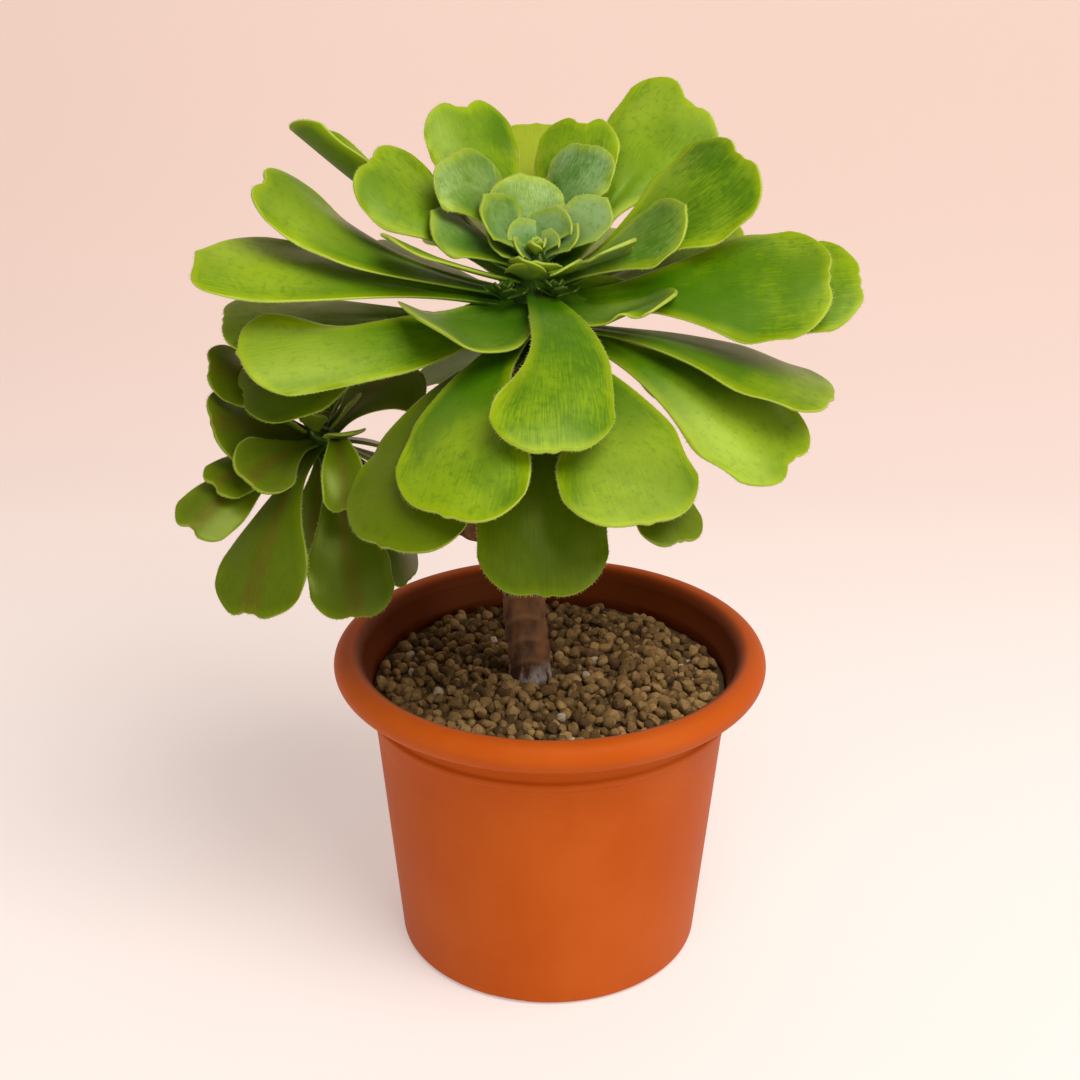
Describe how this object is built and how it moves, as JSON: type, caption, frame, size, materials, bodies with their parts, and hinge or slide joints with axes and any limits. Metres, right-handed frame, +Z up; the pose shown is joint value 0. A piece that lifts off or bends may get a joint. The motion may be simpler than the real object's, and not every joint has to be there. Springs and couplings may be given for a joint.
{
  "type": "potted aeonium",
  "caption": "Potted aeonium: a broad rosette of spoon-shaped succulent leaves on a bare stem, with a small side rosette, in a round rolled-rim pot of grit.",
  "frame": {"origin": "centre of the pot's flat underside", "axes": "+Z up along the pot's axis, front of the plant faces -Y, +X to the right seen from the front"},
  "size_m": [0.2169, 0.1719, 0.2988],
  "materials": {
    "terracotta_plastic": "terracotta-coloured plastic, satin",
    "brown_grit": "dry, matt mineral grit",
    "stem_bark": "brown bark with leaf scars, matt",
    "leaf_green": "fresh green leaf, waxy, paler margins",
    "shaded_leaf_green": "dark green leaf, waxy, paler margins"
  },
  "bodies": {
    "root": {"pot": "terracotta_plastic", "grit": "brown_grit", "stem": "stem_bark", "crown_rosette": "leaf_green", "side_rosette": "shaded_leaf_green"}
  },
  "joints": []
}
